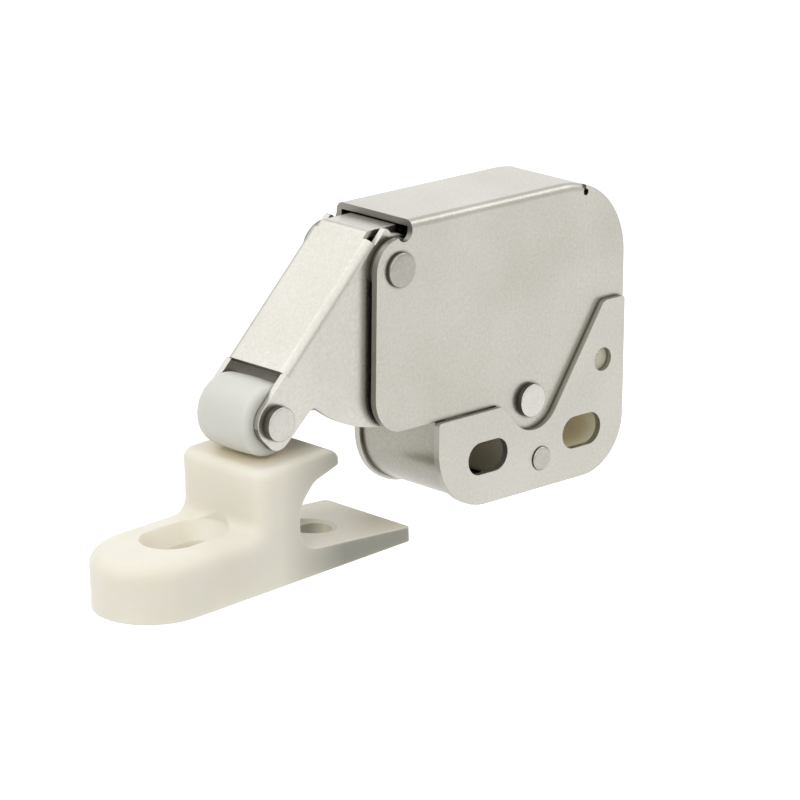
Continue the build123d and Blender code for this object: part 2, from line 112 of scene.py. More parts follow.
class NodeSheet:
    """Adds and joins nodes in one node tree."""

    def __init__(self, tree: bpy.types.NodeTree) -> None:
        """Takes over an empty tree.

        Args:
            tree: the node tree to fill.
        """
        self.tree = tree
        tree.nodes.clear()

    def add(self, kind: str, **values: object) -> Node:
        """Adds a node and sets its fields.

        Args:
            kind: the node's type name.
            **values: fields of the node.

        Returns:
            The new node.
        """
        node = self.tree.nodes.new(kind)
        for name, value in values.items():
            setattr(node, name, value)
        return node

    def join(self, source: Socket, target: Socket) -> None:
        """Links one socket to another."""
        self.tree.links.new(source, target)

    def feed(self, target: Socket, value: Socket | Colour | float) -> None:
        """Links a socket to an input, or sets the input.

        Args:
            target: the input.
            value: a socket, a colour or a number.
        """
        if isinstance(value, bpy.types.NodeSocket):
            self.join(value, target)
        else:
            target.default_value = (*value, 1.0) if isinstance(value, tuple) else value

    def maths(self, how: str, first: Socket | float, second: Socket | float = 0.0,
              clamp: bool = False) -> Socket:
        """Adds a Math node.

        Args:
            how: the operation.
            first: a socket or a number.
            second: a socket or a number, for an operation that has two.
            clamp: keeps the result between 0 and 1.

        Returns:
            The result's socket.
        """
        node = self.add("ShaderNodeMath", operation=how, use_clamp=clamp)
        for place, value in enumerate((first, second)):
            self.feed(node.inputs[place], value)
        return node.outputs[0]

    def noise(self, where: Socket, scale: Socket | float, detail: float,
              rough: float = 0.5) -> Socket:
        """Adds a noise pattern.

        Args:
            where: the coordinates.
            scale: a number or a socket, per metre.
            detail: octaves.
            rough: how strong the fine octaves are.

        Returns:
            The pattern's value.
        """
        node = self.add("ShaderNodeTexNoise")
        self.join(where, node.inputs["Vector"])
        node.inputs["Detail"].default_value = detail
        node.inputs["Roughness"].default_value = rough
        self.feed(node.inputs["Scale"], scale)
        return node.outputs["Fac"]

    def span(self, value: Socket, read: Ends = (0.0, 1.0), give: Ends = (0.0, 1.0)) -> Socket:
        """Maps one range of values to another, clamped.

        Args:
            value: the socket to map.
            read: the two ends of what is read, each a number or a socket.
            give: what each end becomes.

        Returns:
            The mapped socket.
        """
        node = self.add("ShaderNodeMapRange")
        self.join(value, node.inputs[0])
        for place, end in enumerate((*read, *give), start=1):
            self.feed(node.inputs[place], end)
        return node.outputs[0]

    def blend(self, mask: Socket | float, first: Socket | Colour,
              second: Socket | Colour) -> Socket:
        """Mixes two colours.

        Args:
            mask: a socket or a number, 0 for the first colour.
            first: a socket or a colour.
            second: a socket or a colour.

        Returns:
            The mixed colour.
        """
        node = self.add("ShaderNodeMix", data_type="RGBA")
        for name, value in (("Factor_Float", mask), ("A_Color", first), ("B_Color", second)):
            self.feed(next(s for s in node.inputs if s.identifier == name), value)
        return next(s for s in node.outputs if s.identifier == "Result_Color")


def new_group(name: str, takes: dict[str, float],
              gives: dict[str, str]) -> tuple[NodeSheet, Node, Node]:
    """Starts a shader node group with named sockets.

    Args:
        name: the group's name.
        takes: number inputs and their defaults.
        gives: outputs and their socket types.

    Returns:
        The sheet, the group's input node and its output node.
    """
    tree = bpy.data.node_groups.new(name, "ShaderNodeTree")
    for label, number in takes.items():
        socket = tree.interface.new_socket(label, in_out="INPUT", socket_type="NodeSocketFloat")
        socket.default_value = number
    for label, kind in gives.items():
        tree.interface.new_socket(label, in_out="OUTPUT", socket_type=kind)
    sheet = NodeSheet(tree)
    return sheet, sheet.add("NodeGroupInput"), sheet.add("NodeGroupOutput")


class Effects:
    """Node groups that several finishes share."""

    FINE_PITS = (2.0, 0.6)  # detail and roughness of the noise
    COARSE_PITS = (3.0, 0.55)
    PIT_HEIGHTS: Range = (0.35, 0.65)
    EDGE_SAMPLES = 6
    RUB_SCALE = 900.0
    RUB_DETAIL = 3.0
    RUB_STRENGTH: Range = (0.6, 1.2)
    DRIFT_DETAIL = 2.0
    NOISE_BODY: Range = (0.3, 0.7)  # where most of a noise's values lie
    CREVICE_SAMPLES = 8
    WALL_TILT: Range = (0.3, 0.6)  # share of Y at which a sheet's wall turns into its face

    def __init__(self) -> None:
        """Builds every group once."""
        self.grain = self._grain()
        self.edges = self._edges()
        self.drift = self._drift()
        self.crevice_shade = self._crevice_shade()
        self.sheared = self._sheared()

    def _grain(self) -> bpy.types.NodeTree:
        """Fine and coarse pitting of a tumbled or moulded skin.

        Returns:
            The group's node tree.
        """
        sheet, takes, gives = new_group(
            "skin grain", {"Fine Scale": 9000.0, "Coarse Scale": 1500.0, "Coarse Share": 0.4},
            {"Height": "NodeSocketFloat", "Mask": "NodeSocketFloat"})
        where = sheet.add("ShaderNodeTexCoord").outputs["Object"]
        fine = sheet.noise(where, takes.outputs["Fine Scale"], *self.FINE_PITS)
        coarse = sheet.noise(where, takes.outputs["Coarse Scale"], *self.COARSE_PITS)
        share = takes.outputs["Coarse Share"]
        height = sheet.maths("ADD", sheet.maths("MULTIPLY", coarse, share),
                             sheet.maths("MULTIPLY", fine, sheet.maths("SUBTRACT", 1.0, share)))
        sheet.join(height, gives.inputs["Height"])
        sheet.join(sheet.span(height, self.PIT_HEIGHTS), gives.inputs["Mask"])
        return sheet.tree

    def _edges(self) -> bpy.types.NodeTree:
        """Rounded normal, and a mask of the edges that the finishes paint partly as wear and
        partly as a painted highlight.

        Returns:
            The group's node tree.
        """
        sheet, takes, gives = new_group(
            "edge rub", {"Radius": 0.0002, "Reach": 0.35},
            {"Mask": "NodeSocketFloat", "Normal": "NodeSocketVector"})
        bevel = sheet.add("ShaderNodeBevel", samples=self.EDGE_SAMPLES)
        sheet.join(takes.outputs["Radius"], bevel.inputs["Radius"])
        geometry = sheet.add("ShaderNodeNewGeometry")
        dot = sheet.add("ShaderNodeVectorMath", operation="DOT_PRODUCT")
        sheet.join(bevel.outputs[0], dot.inputs[0])
        sheet.join(geometry.outputs["Normal"], dot.inputs[1])
        turn = sheet.maths("SUBTRACT", 1.0, dot.outputs["Value"])
        where = sheet.add("ShaderNodeTexCoord").outputs["Object"]
        broken = sheet.span(sheet.noise(where, self.RUB_SCALE, self.RUB_DETAIL),
                            self.NOISE_BODY, self.RUB_STRENGTH)
        mask = sheet.maths("DIVIDE", sheet.maths("MULTIPLY", turn, broken),
                           takes.outputs["Reach"], clamp=True)
        sheet.join(mask, gives.inputs["Mask"])
        sheet.join(bevel.outputs[0], gives.inputs["Normal"])
        return sheet.tree

    def _drift(self) -> bpy.types.NodeTree:
        """Slow uneven tone over a surface, as plating and natural nylon have.

        Returns:
            The group's node tree.
        """
        sheet, takes, gives = new_group("slow drift", {"Scale": 60.0}, {"Mask": "NodeSocketFloat"})
        where = sheet.add("ShaderNodeTexCoord").outputs["Object"]
        broad = sheet.noise(where, takes.outputs["Scale"], self.DRIFT_DETAIL)
        sheet.join(sheet.span(broad, self.NOISE_BODY), gives.inputs["Mask"])
        return sheet.tree

    def _crevice_shade(self) -> bpy.types.NodeTree:
        """Mask of the corners, seams and feet where two surfaces close in on each other, read from
        ambient occlusion; the finishes paint shade with it, and on some nylon parts a glow.

        Returns:
            The group's node tree.
        """
        sheet, takes, gives = new_group(
            "crevice_shade", {"Distance": 0.0008, "Open": 0.92, "Closed": 0.45},
            {"Mask": "NodeSocketFloat"})
        closing = sheet.add("ShaderNodeAmbientOcclusion", samples=self.CREVICE_SAMPLES)
        sheet.join(takes.outputs["Distance"], closing.inputs["Distance"])
        ends = (takes.outputs["Open"], takes.outputs["Closed"])
        sheet.join(sheet.span(closing.outputs["AO"], ends), gives.inputs["Mask"])
        return sheet.tree

    def _sheared(self) -> bpy.types.NodeTree:
        """Mask of the cut edges of a sheet, told from its skin by the way they face; on the pins
        it takes the sides of the heads, where a painted reflection goes.

        Returns:
            The group's node tree.
        """
        sheet, takes, gives = new_group(
            "sheared edge", {"Skin X": 0.0, "Skin Z": 0.0, "Nearness": 1.0},
            {"Mask": "NodeSocketFloat"})
        facing = sheet.add("ShaderNodeSeparateXYZ")
        sheet.join(sheet.add("ShaderNodeTexCoord").outputs["Normal"], facing.inputs[0])
        across = sheet.maths("ABSOLUTE", facing.outputs["Y"])
        wall = sheet.span(across, self.WALL_TILT, (1.0, 0.0))
        likeness = sheet.maths(
            "ADD", sheet.maths("MULTIPLY", facing.outputs["X"], takes.outputs["Skin X"]),
            sheet.maths("MULTIPLY", facing.outputs["Z"], takes.outputs["Skin Z"]))
        cut = sheet.maths("LESS_THAN", likeness, takes.outputs["Nearness"])
        sheet.join(sheet.maths("MULTIPLY", wall, cut), gives.inputs["Mask"])
        return sheet.tree


class Finish:
    """Base of the finishes: a material with the shared effects placed in it."""

    name: str

    def start(self) -> tuple[bpy.types.Material, NodeSheet, Node]:
        """Makes an empty material with its shader.

        Returns:
            The material, its sheet and its Principled shader.
        """
        material = bpy.data.materials.new(self.name)
        material.use_nodes = True
        sheet = NodeSheet(material.node_tree)
        shader = sheet.add("ShaderNodeBsdfPrincipled")
        out = sheet.add("ShaderNodeOutputMaterial")
        sheet.join(shader.outputs[0], out.inputs["Surface"])
        return material, sheet, shader

    @staticmethod
    def place(sheet: NodeSheet, group: bpy.types.NodeTree, **values: float) -> Node:
        """Places a shared effect.

        Args:
            sheet: the material's sheet.
            group: the effect's node group.
            **values: its inputs, with spaces written as underscores.

        Returns:
            The group node.
        """
        node = sheet.add("ShaderNodeGroup", node_tree=group)
        for label, number in values.items():
            node.inputs[label.replace("_", " ")].default_value = number
        return node

    @staticmethod
    def roughen(sheet: NodeSheet, shader: Node, grain: Node, rub_and_glint: Node, depth: float,
                height: float) -> None:
        """Bumps a shader's normal with the grain, over the rounded edges.

        Args:
            sheet: the material's sheet.
            shader: its Principled shader.
            grain: the placed grain.
            rub_and_glint: the placed edge effect.
            depth: strength of the bump.
            height: from the bottom of the grain to its top.
        """
        bump = sheet.add("ShaderNodeBump")
        bump.inputs["Strength"].default_value = depth
        bump.inputs["Distance"].default_value = height
        sheet.join(grain.outputs["Height"], bump.inputs["Height"])
        sheet.join(rub_and_glint.outputs["Normal"], bump.inputs["Normal"])
        sheet.join(bump.outputs[0], shader.inputs["Normal"])

    def make(self, effects: Effects) -> bpy.types.Material:
        """Builds the material."""
        raise NotImplementedError


@dataclass(frozen=True)
class Metal(Finish):
    """Nickel plate, wire or sheared steel: a satin metal with grain and cut edges, its edges
    lightened partly by wear and partly as a painted highlight, and its seams and feet darkened as
    painted shade.
    """

    name: str
    tone: Colour
    shade: Colour
    # Edge colour: partly wear on the rounded edges and partly a painted highlight on them.
    edge: Colour
    skin: Skin = Skin.ALL
    # Wall colour: on the sheets their own sheared edges, on the pins a painted reflection
    # darkening the sides of the heads.
    wall: Colour = (0.25, 0.24, 0.21)
    # Painted shade, laid into the seams, corners and feet by ambient occlusion.
    seam_shade: Colour = (0.06, 0.055, 0.045)
    rough: float = 0.3
    rough_span: float = 0.08
    cut_rough: float = 0.12
    fine: float = 9000.0
    coarse: float = 2600.0
    coarse_share: float = 0.45
    speckle: Range = (0.9, 1.06)
    drift_scale: float = 70.0
    depth: float = 0.3
    height: float = 0.02 * MM
    edge_radius: float = 0.1 * MM
    rub_and_glint_reach: float = 0.3
    rub_and_glint_share: float = 0.8
    seam_shade_reach: float = 0.6 * MM
    seam_shade_open: float = 0.88
    seam_shade_closed: float = 0.3

    def make(self, effects: Effects) -> bpy.types.Material:
        """Builds the material.

        Args:
            effects: the shared node groups.

        Returns:
            The finished material.
        """
        material, sheet, shader = self.start()
        grain = self.place(sheet, effects.grain, Fine_Scale=self.fine, Coarse_Scale=self.coarse,
                           Coarse_Share=self.coarse_share)
        drift = self.place(sheet, effects.drift, Scale=self.drift_scale)
        rub_and_glint = self.place(sheet, effects.edges, Radius=self.edge_radius, Reach=self.rub_and_glint_reach)
        skin_x, skin_z, nearness = self.skin.value
        cut = self.place(sheet, effects.sheared, Skin_X=skin_x, Skin_Z=skin_z, Nearness=nearness)
        seam_shade = self.place(sheet, effects.crevice_shade, Distance=self.seam_shade_reach, Open=self.seam_shade_open,
                          Closed=self.seam_shade_closed)
        toned = sheet.blend(drift.outputs["Mask"], self.shade, self.tone)
        speck = sheet.span(grain.outputs["Mask"], give=self.speckle)
        specked = sheet.add("ShaderNodeVectorMath", operation="SCALE")
        sheet.join(toned, specked.inputs[0])
        sheet.join(speck, specked.inputs["Scale"])
        # Cut walls take the wall colour; on the pins this is a painted reflection on the sides of
        # the heads.
        walled = sheet.blend(cut.outputs["Mask"], specked.outputs[0], self.wall)
        # Edges blend towards the edge colour: partly wear, partly a painted highlight.
        rubbed_and_glinting = sheet.blend(sheet.maths("MULTIPLY", rub_and_glint.outputs["Mask"], self.rub_and_glint_share), walled,
                             self.edge)
        # Painted shade: seams, corners and feet are darkened by ambient occlusion.
        sheet.join(sheet.blend(seam_shade.outputs["Mask"], rubbed_and_glinting, self.seam_shade),
                   shader.inputs["Base Color"])
        shader.inputs["Metallic"].default_value = 1.0
        half = self.rough_span / 2
        rough = sheet.span(grain.outputs["Mask"], give=(self.rough + half, self.rough - half))
        cut_rough = sheet.maths("MULTIPLY", cut.outputs["Mask"], self.cut_rough)
        sheet.join(sheet.maths("ADD", rough, cut_rough, clamp=True), shader.inputs["Roughness"])
        self.roughen(sheet, shader, grain, rub_and_glint, self.depth, self.height)
        return material


@dataclass(frozen=True)
class Nylon(Finish):
    """Natural or white nylon: soft light inside, painted light in its hollows, a painted shade
    towards one end, slow drift and a satin skin.
    """

    name: str
    tone: Colour
    shade: Colour
    edge: Colour
    painted_hollow_light: Colour
    end_shade: Colour = (0.0, 0.0, 0.0)
    end_shade_from: float = 0.0
    end_shade_to: float = 0.0
    end_shade_top: float = 0.02
    end_shade_tilt: Range = (0.2, 0.9)
    rough: float = 0.42
    rough_spread: Range = (0.06, -0.05)
    fine: float = 5000.0
    coarse: float = 600.0
    coarse_share: float = 0.6
    drift_scale: float = 90.0
    depth: float = 0.15
    height: float = 0.05 * MM
    inside: float = 0.6
    inside_reach: float = 2.5 * MM
    inside_tint: Colour = (1.0, 0.85, 0.6)
    edge_radius: float = 0.3 * MM
    rub_and_glint_reach: float = 0.5
    hollow_reach: float = 3.0 * MM
    hollow_open: float = 0.9
    hollow_closed: float = 0.35
    hollow_share: float = 0.7

    def _end_shaded(self, sheet: NodeSheet, colour: Socket) -> Socket:
        """Paints shade towards one end along X, stronger on the faces across the catch than on the
        top.

        Args:
            sheet: the material's sheet.
            colour: the colour so far.

        Returns:
            The colour with its grey end.
        """
        where = sheet.add("ShaderNodeTexCoord")
        place = sheet.add("ShaderNodeSeparateXYZ")
        sheet.join(where.outputs["Object"], place.inputs[0])
        facing = sheet.add("ShaderNodeSeparateXYZ")
        sheet.join(where.outputs["Normal"], facing.inputs[0])
        sides = sheet.span(sheet.maths("ABSOLUTE", facing.outputs["Y"]), self.end_shade_tilt,
                           (self.end_shade_top, 1.0))
        along = sheet.span(place.outputs["X"], (self.end_shade_from, self.end_shade_to))
        return sheet.blend(sheet.maths("MULTIPLY", along, sides), colour, self.end_shade)

    def make(self, effects: Effects) -> bpy.types.Material:
        """Builds the material.

        Args:
            effects: the shared node groups.

        Returns:
            The finished material.
        """
        material, sheet, shader = self.start()
        grain = self.place(sheet, effects.grain, Fine_Scale=self.fine, Coarse_Scale=self.coarse,
                           Coarse_Share=self.coarse_share)
        drift = self.place(sheet, effects.drift, Scale=self.drift_scale)
        rub_and_glint = self.place(sheet, effects.edges, Radius=self.edge_radius, Reach=self.rub_and_glint_reach)
        seam_shade = self.place(sheet, effects.crevice_shade, Distance=self.hollow_reach,
                          Open=self.hollow_open, Closed=self.hollow_closed)
        colour = sheet.blend(drift.outputs["Mask"], self.shade, self.tone)
        # Painted shade towards one end along X.
        if self.end_shade_to != self.end_shade_from:
            colour = self._end_shaded(sheet, colour)
        # Edges blend towards the edge colour: partly wear, partly a painted highlight.
        colour = sheet.blend(rub_and_glint.outputs["Mask"], colour, self.edge)
        # Painted light in the hollows, by ambient occlusion: a lighter, warmer glow on the strike
        # and the block, painted shade on the roller.
        hollows = sheet.maths("MULTIPLY", seam_shade.outputs["Mask"], self.hollow_share)
        sheet.join(sheet.blend(hollows, colour, self.painted_hollow_light), shader.inputs["Base Color"])
        rougher, smoother = (self.rough + change for change in self.rough_spread)
        sheet.join(sheet.span(grain.outputs["Mask"], give=(rougher, smoother)),
                   shader.inputs["Roughness"])
        shader.inputs["Subsurface Weight"].default_value = self.inside
        shader.inputs["Subsurface Radius"].default_value = self.inside_tint
        shader.inputs["Subsurface Scale"].default_value = self.inside_reach
        self.roughen(sheet, shader, grain, rub_and_glint, self.depth, self.height)
        return material


def dress(node: bpy.types.Object, material: bpy.types.Material) -> None:
    """Gives one finish to every slot of an object.

    Args:
        node: the object.
        material: its finish.
    """
    if not node.material_slots:
        node.data.materials.append(material)
    for place in node.material_slots:
        place.material = material


# ---------------------------------------------------------------- modelling tools


def select_nothing() -> None:
    """Deselects every object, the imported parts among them."""
    bpy.ops.object.select_all(action="DESELECT")


@dataclass
class Rivet:
    """A rivet across the catch: a plain shank with a low crowned head at each end."""

    node: str
    body: str
    head_height: float
    rim: float
    shank_radius: float = 1.5 * MM
    crown: float = 0.07 * MM
    crown_step: float = 0.35
    crown_rises: Range = (0.6, 0.4)
    sides: int = 64
    rim_segments: int = 4
    smooth_angle: float = 35.0
    level_room: float = 0.01 * MM
    facing_least: float = 0.99

    def _raise_head(self, piece: bpy.types.Object, side: Side, centre: Vector,
                    grip: float, head_radius: float) -> None:
        """Draws one end of the shank out into a head, in edit mode.

        Args:
            piece: the rivet.
            side: the end that gets its head.
            centre: the middle of the rivet.
            grip: from the middle to the underside of the head.
            head_radius: radius of the head.
        """
        end = centre + Vector((0.0, side.value * grip, 0.0))
        wider = head_radius / self.shank_radius
        rise = side.value * (self.head_height - self.crown)
        self._pick_end(piece, side, end.y)
        bpy.ops.mesh.extrude_region_move()
        bpy.ops.transform.resize(value=(wider, 1.0, wider), center_override=end)
        bpy.ops.mesh.extrude_region_move(
            TRANSFORM_OT_translate={"value": (0.0, rise, 0.0)})
        bpy.ops.mesh.region_to_loop()
        bpy.ops.mesh.bevel(offset=self.rim, segments=self.rim_segments, affect="EDGES")
        self._pick_end(piece, side, end.y + rise)
        flat = head_radius - self.rim
        for share in self.crown_rises:
            bpy.ops.mesh.inset(thickness=flat * self.crown_step, depth=self.crown * share)

    def _pick_end(self, piece: bpy.types.Object, side: Side, level: float) -> None:
        """Selects the faces that lie at a level and point out of an end.

        Args:
            piece: the rivet, in edit mode.
            side: the end.
            level: where the faces lie along Y.
        """
        mesh = bmesh.from_edit_mesh(piece.data)
        mesh.normal_update()
        for face in mesh.faces:
            close = abs(face.calc_center_median().y - level) < self.level_room
            face.select_set(close and face.normal.y * side.value > self.facing_least)
        mesh.select_flush(True)
        bmesh.update_edit_mesh(piece.data)

    def model(self, finish: bpy.types.Material) -> bpy.types.Object:
        """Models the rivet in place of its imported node.

        Args:
            finish: its material.

        Returns:
            The rivet.
        """
        low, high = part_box(self.node)
        centre = (low + high) / 2
        grip = (high.y - low.y) / 2 - self.head_height
        select_nothing()
        bpy.ops.mesh.primitive_cylinder_add(
            vertices=self.sides, radius=self.shank_radius, depth=2 * grip, location=centre,
            rotation=(math.pi / 2, 0.0, 0.0))
        piece = bpy.context.object
        piece.name = piece.data.name = f"{self.node}_headed"
        bpy.ops.object.transform_apply(location=True, rotation=True, scale=True)
        bpy.ops.object.mode_set(mode="EDIT")
        bpy.ops.mesh.select_mode(type="FACE")
        for side in Side:
            self._raise_head(piece, side, centre, grip, (high.x - low.x) / 2)
        bpy.ops.mesh.select_all(action="SELECT")
        bpy.ops.mesh.normals_make_consistent(inside=False)
        bpy.ops.object.mode_set(mode="OBJECT")
        bpy.ops.object.shade_smooth_by_angle(angle=math.radians(self.smooth_angle))
        dress(piece, finish)
        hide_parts(self.node)
        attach(piece, self.body)
        LOG.info("%s stands for %s", piece.name, self.node)
        return piece


@dataclass
class Wire:
    """A copy of a packed wire, smooth shaded so that its flats don't show."""

    node: str
    body: str
    merge: float = 0.001 * MM
    smooth_angle: float = 75.0

    def _smoothed(self, original: bpy.types.Object,
                  finish: bpy.types.Material) -> bpy.types.Object:
        """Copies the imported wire, joins its faces and shades them smooth.

        Args:
            original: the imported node.
            finish: the wire's material.

        Returns:
            The copy, which stands for the node.
        """
        piece = bpy.data.objects.new(f"{self.node}_round", original.data.copy())
        bpy.context.scene.collection.objects.link(piece)
        select_nothing()
        piece.select_set(True)
        bpy.context.view_layer.objects.active = piece
        bpy.ops.object.mode_set(mode="EDIT")
        bpy.ops.mesh.select_all(action="SELECT")
        bpy.ops.mesh.remove_doubles(threshold=self.merge)
        bpy.ops.mesh.normals_make_consistent(inside=False)
        bpy.ops.object.mode_set(mode="OBJECT")
        bpy.ops.object.shade_smooth_by_angle(angle=math.radians(self.smooth_angle))
        dress(piece, finish)
        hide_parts(self.node)
        LOG.info("%s stands for %s", piece.name, self.node)
        return piece

    def model(self, original: bpy.types.Object, finish: bpy.types.Material) -> bpy.types.Object:
        """Places a wire that keeps its shape.

        Args:
            original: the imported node.
            finish: the wire's material.

        Returns:
            The wire.
        """
        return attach(self._smoothed(original, finish), self.body)


@dataclass
class Spring(Wire):
    """The arm's spring: its coil and its short leg both stay where they were imported."""

    follows: str = "swing_arm"
    leg_start: float = 1.3 * MM
    leg_end: float = 4.0 * MM

    def model_at(self, original: bpy.types.Object, finish: bpy.types.Material,
                 pivot: Vector) -> bpy.types.Object:
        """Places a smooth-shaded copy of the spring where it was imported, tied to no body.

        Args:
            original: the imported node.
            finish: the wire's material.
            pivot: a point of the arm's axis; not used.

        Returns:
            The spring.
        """
        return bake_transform(self._smoothed(original, finish))


# ---------------------------------------------------------------- the catch


@dataclass
class Assembly:
    """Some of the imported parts, and the shared effects that their finishes use."""

    frame: dict[str, object]
    effects: Effects

    @property
    def nodes(self) -> dict[str, bpy.types.Object]:
        """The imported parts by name."""
        return self.frame["nodes"]

    def joint(self, name: str) -> dict[str, object]:
        """The record's joint of that name."""
        return next(j for j in self.frame["joints"] if j["name"] == name)

    def finish_parts(self, finish: Finish, *names: str) -> bpy.types.Material:
        """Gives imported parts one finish.

        Args:
            finish: the finish.
            *names: the parts.

        Returns:
            The finish's material.
        """
        material = finish.make(self.effects)
        for name in names:
            dress(self.nodes[name], material)
            LOG.info("%s has %s", name, finish.name)
        return material


@dataclass
class Bracket(Assembly):
    """Two slotted plates, the strap between them and the pin across."""

    plate: Metal = Metal("bracket plate", tone=(0.50, 0.485, 0.44), shade=(0.45, 0.435, 0.39),
                         edge=(0.56, 0.55, 0.51), skin=Skin.NONE, wall=(0.4, 0.39, 0.35))
    # The strap is toned darker than the plates as painted shade, standing in for the shadowed
    # floor that its front reflects.
    strap: Metal = Metal("bracket strap", tone=(0.32, 0.31, 0.27), shade=(0.27, 0.26, 0.22),
                         edge=(0.5, 0.49, 0.45), skin=Skin.STRAP)
    # Painted reflection: the dark wall colour and the darker edge colour darken the sides and rims
    # of the pin's ends.
    pin: Metal = Metal("bracket pin steel", tone=(0.42, 0.405, 0.365),
                       shade=(0.38, 0.365, 0.325), edge=(0.3, 0.29, 0.26), skin=Skin.NONE,
                       wall=(0.07, 0.066, 0.056), coarse=PIN_GRAIN)

    def build(self) -> None:
        """Dresses the bracket's parts."""
        self.finish_parts(self.plate, "bracket_plate_near", "bracket_plate_far")
        self.finish_parts(self.strap, "base_frame")
        self.finish_parts(self.pin, "bracket_pin")


@dataclass
class Housing(Assembly):
    """The folded housing with its block, its spring and the parts round the pivot."""

    shell: Metal = Metal("housing sheet", tone=(0.49, 0.475, 0.43), shade=(0.43, 0.415, 0.37),
                         edge=(0.58, 0.57, 0.53), skin=Skin.HOUSING)
    # On the pivot parts and the rivet steel below, the dark wall colour is a painted reflection on
    # the sides of heads and rims.
    pivot: Metal = Metal("pivot steel", tone=(0.37, 0.36, 0.32), shade=(0.33, 0.32, 0.28),
                         edge=(0.46, 0.45, 0.42), skin=Skin.NONE, wall=(0.14, 0.13, 0.11),
                         coarse=PIN_GRAIN)
    stud: Metal = Metal("rivet steel", tone=(0.56, 0.55, 0.51), shade=(0.5, 0.49, 0.45),
                        edge=(0.6, 0.59, 0.56), skin=Skin.NONE, wall=(0.1, 0.095, 0.08),
                        rough=0.24, coarse=PIN_GRAIN)
    wire: Metal = Metal("spring wire", tone=(0.36, 0.36, 0.35), shade=(0.3, 0.3, 0.29),
                        edge=(0.5, 0.5, 0.49), rough=0.32)
    # The block's colour in its hollows is a lighter, warmer painted glow, in place of the shade in
    # its recesses.
    block: Nylon = Nylon("cream block nylon", tone=(0.84, 0.77, 0.58), shade=(0.79, 0.72, 0.53),
                         edge=(0.88, 0.82, 0.64), painted_hollow_light=(0.92, 0.85, 0.64),
                         hollow_reach=1.5 * MM)
    pivot_head: float = 0.65 * MM
    pivot_rim: float = 0.3 * MM
    lower_head: float = 0.9 * MM
    lower_rim: float = 0.18 * MM

    def build(self) -> None:
        """Dresses the housing's parts, places its wires and models its rivets."""
        self.finish_parts(self.shell, "housing_shell")
        wire = self.finish_parts(self.wire, "link_keeper")
        Spring("arm_spring", "latch_body").model_at(
            self.nodes["arm_spring"], wire, Vector(self.joint("arm_swing")["pos_m"]))
        Wire("cam_link", "link").model(self.nodes["cam_link"], wire)
        self.finish_parts(self.block, "cam_block")
        pivot = self.finish_parts(self.pivot, "pivot_sleeve", "pivot_washer_near",
                                  "pivot_washer_far")
        Rivet("pivot_rivet", "latch_body", self.pivot_head, self.pivot_rim).model(pivot)
        Rivet("lower_rivet", "latch_body", self.lower_head, self.lower_rim).model(
            self.stud.make(self.effects))


@dataclass
class SwingArm(Assembly):
    """The sprung arm with its roller and the roller's pin."""

    sheet: Metal = Metal("arm sheet", tone=(0.54, 0.525, 0.48), shade=(0.49, 0.475, 0.43),
                         edge=(0.6, 0.59, 0.55), skin=Skin.ARM, seam_shade_open=0.78)
    # The dark wall colour is a painted reflection on the sides of the pin's heads.
    pin: Metal = Metal("roller pin steel", tone=(0.49, 0.48, 0.44), shade=(0.43, 0.42, 0.38),
                       edge=(0.55, 0.54, 0.51), skin=Skin.NONE, wall=(0.1, 0.095, 0.08),
                       rough=0.24, coarse=PIN_GRAIN)
    # The roller's colour in its hollows is darker: painted shade.
    nylon: Nylon = Nylon("white roller nylon", tone=(0.66, 0.66, 0.615),
                         shade=(0.63, 0.63, 0.585), edge=(0.7, 0.7, 0.66),
                         painted_hollow_light=(0.6, 0.59, 0.53), hollow_reach=1.2 * MM)
    pin_head: float = 1.1 * MM
    pin_rim: float = 0.18 * MM

    def build(self) -> None:
        """Dresses the arm and the roller, and models the roller's pin."""
        self.finish_parts(self.sheet, "arm_shell")
        self.finish_parts(self.nylon, "roller")
        Rivet("roller_pin", "swing_arm", self.pin_head, self.pin_rim).model(
            self.pin.make(self.effects))


@dataclass
class Strike(Assembly):
    """The moulded strike, with painted shade towards its toe for the catch's shadow and the dimmer
    light in its thinner nylon.
    """

    tone: Colour = (0.82, 0.79, 0.695)
    shade: Colour = (0.77, 0.73, 0.62)
    edge: Colour = (0.86, 0.84, 0.78)
    # Colour in the hollows: a lighter, warmer painted glow.
    painted_hollow_light: Colour = (0.90, 0.81, 0.61)
    # Painted shade towards the toe, for the catch's shadow and the dimmer light in the thinner
    # nylon.
    toe: Colour = (0.3, 0.3, 0.25)
    toe_shade_start: float = 0.5
    toe_shade_full: float = 0.74

    def build(self) -> None:
        """Dresses the strike."""
        low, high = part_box("strike")
        start, full = (low.x + share * (high.x - low.x)
                       for share in (self.toe_shade_start, self.toe_shade_full))
        nylon = Nylon("natural strike nylon", tone=self.tone, shade=self.shade, edge=self.edge,
                      painted_hollow_light=self.painted_hollow_light, end_shade=self.toe, end_shade_from=start, end_shade_to=full)
        self.finish_parts(nylon, "strike")


# ---------------------------------------------------------------- the studio


@dataclass
class Lamp:
    """A soft rectangular lamp that looks at one point."""

    name: str
    place: tuple[float, float, float]
    size: tuple[float, float]
    power: float

    def hang(self, aim: Vector) -> None:
        """Adds the lamp.

        Args:
            aim: the point it faces.
        """
        data = bpy.data.lights.new(self.name, "AREA")
        data.shape = "RECTANGLE"
        data.size, data.size_y = self.size
        data.energy = self.power
        lamp = bpy.data.objects.new(self.name, data)
        bpy.context.scene.collection.objects.link(lamp)
        place = Vector(self.place)
        turn = (aim - place).to_track_quat("-Z", "Y").to_matrix().to_4x4()
        lamp.matrix_world = Matrix.Translation(place) @ turn


